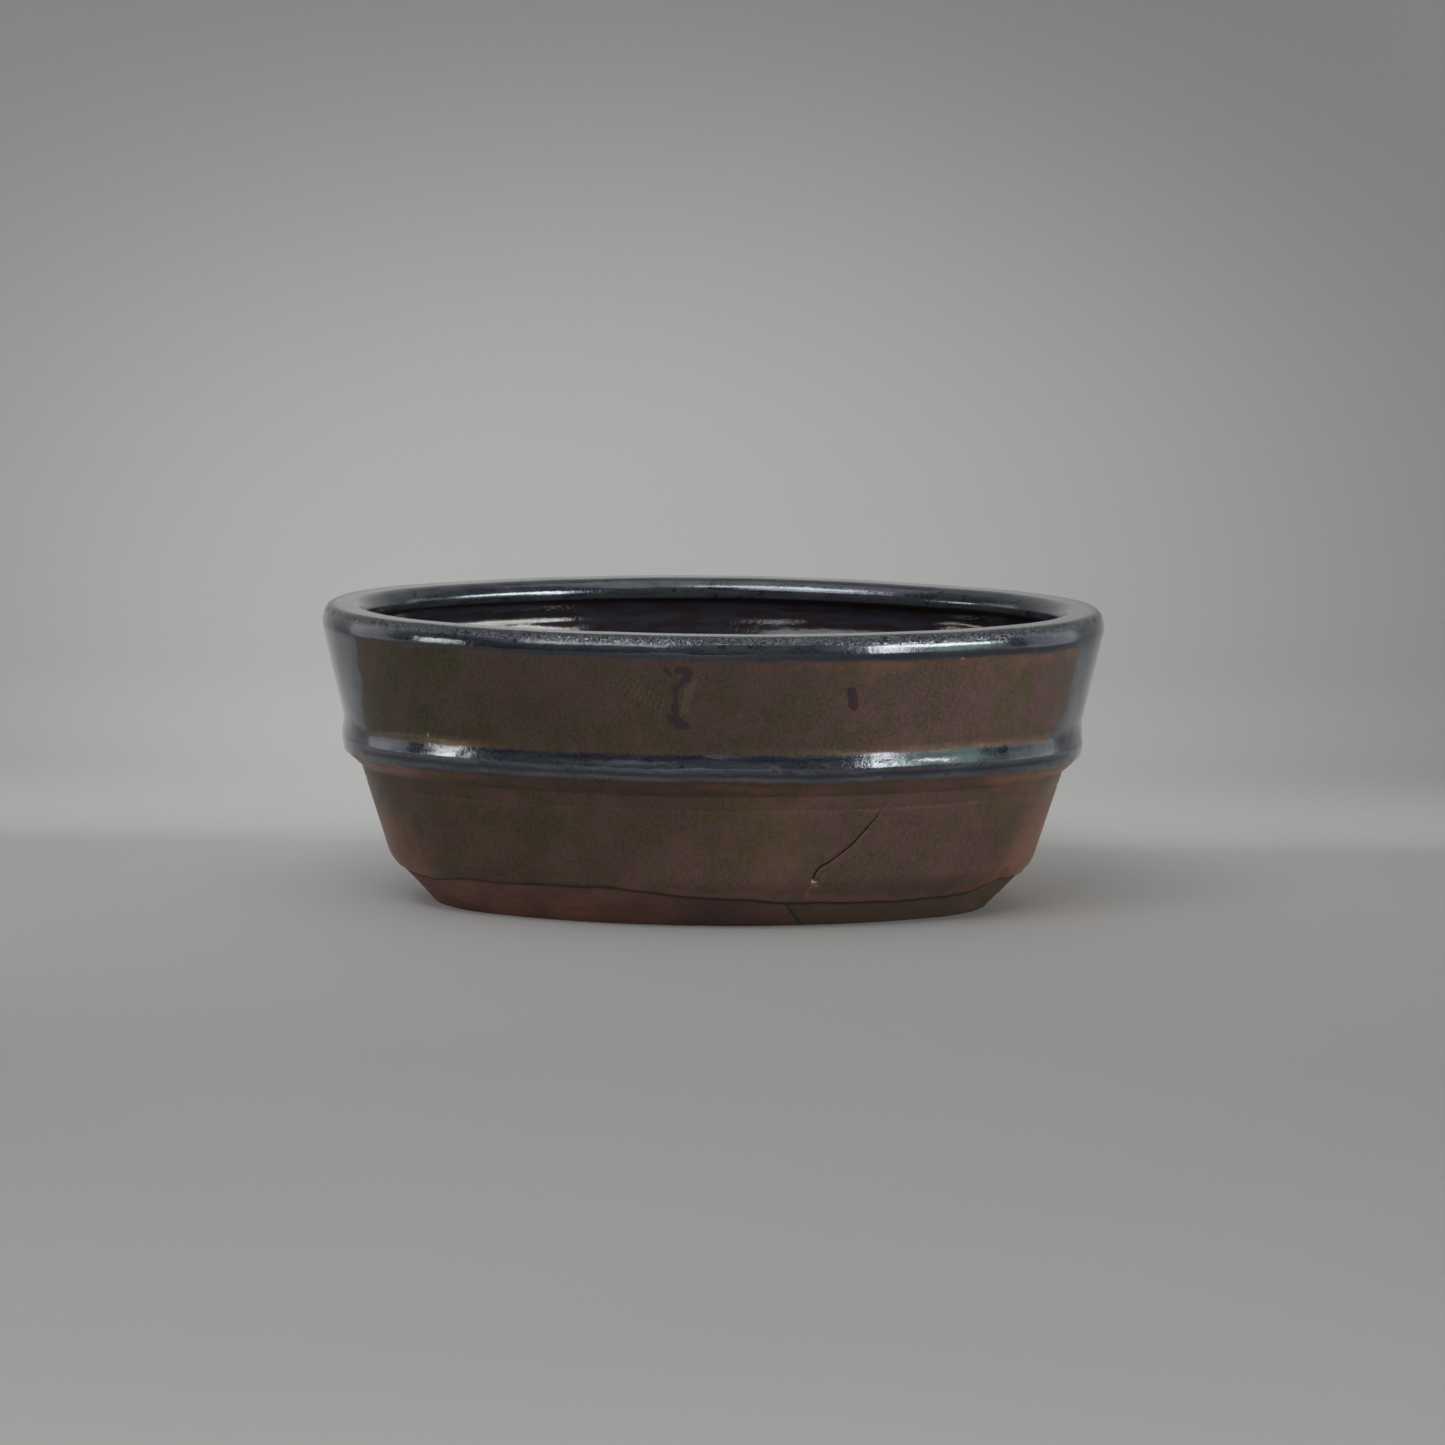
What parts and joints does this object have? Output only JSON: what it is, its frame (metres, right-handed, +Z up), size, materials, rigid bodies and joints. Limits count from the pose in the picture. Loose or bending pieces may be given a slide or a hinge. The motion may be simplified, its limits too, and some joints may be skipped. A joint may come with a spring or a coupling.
{
  "type": "bonsai pot",
  "caption": "Oval glazed bonsai pot with a flat turned-in lip, a raised belt, a bare foot ring, and screened drain holes held by wire clips.",
  "frame": {"origin": "on the resting plane of the foot ring, under the middle of the pot", "axes": "+X along the oval's length, +Y across it to the back, +Z up"},
  "size_m": [0.205, 0.154, 0.078],
  "materials": {
    "bare_clay": "matte, unglazed, fired reddish brown",
    "bronze_glaze": "satin, dark bronze-brown lustre",
    "thick_glaze": "glossy, breaks to blue-grey",
    "screen_plastic": "matte black",
    "clip_wire": "drawn, satin"
  },
  "bodies": {
    "root": {"foot_ring": "bare_clay", "floor_slab": "bare_clay", "lower_wall": "bronze_glaze", "belt_band": "thick_glaze", "upper_wall": "bronze_glaze", "rim_lip": "thick_glaze", "drain_mesh_left": "screen_plastic", "drain_mesh_right": "screen_plastic", "mesh_clip_left": "clip_wire", "mesh_clip_right": "clip_wire"}
  },
  "joints": []
}
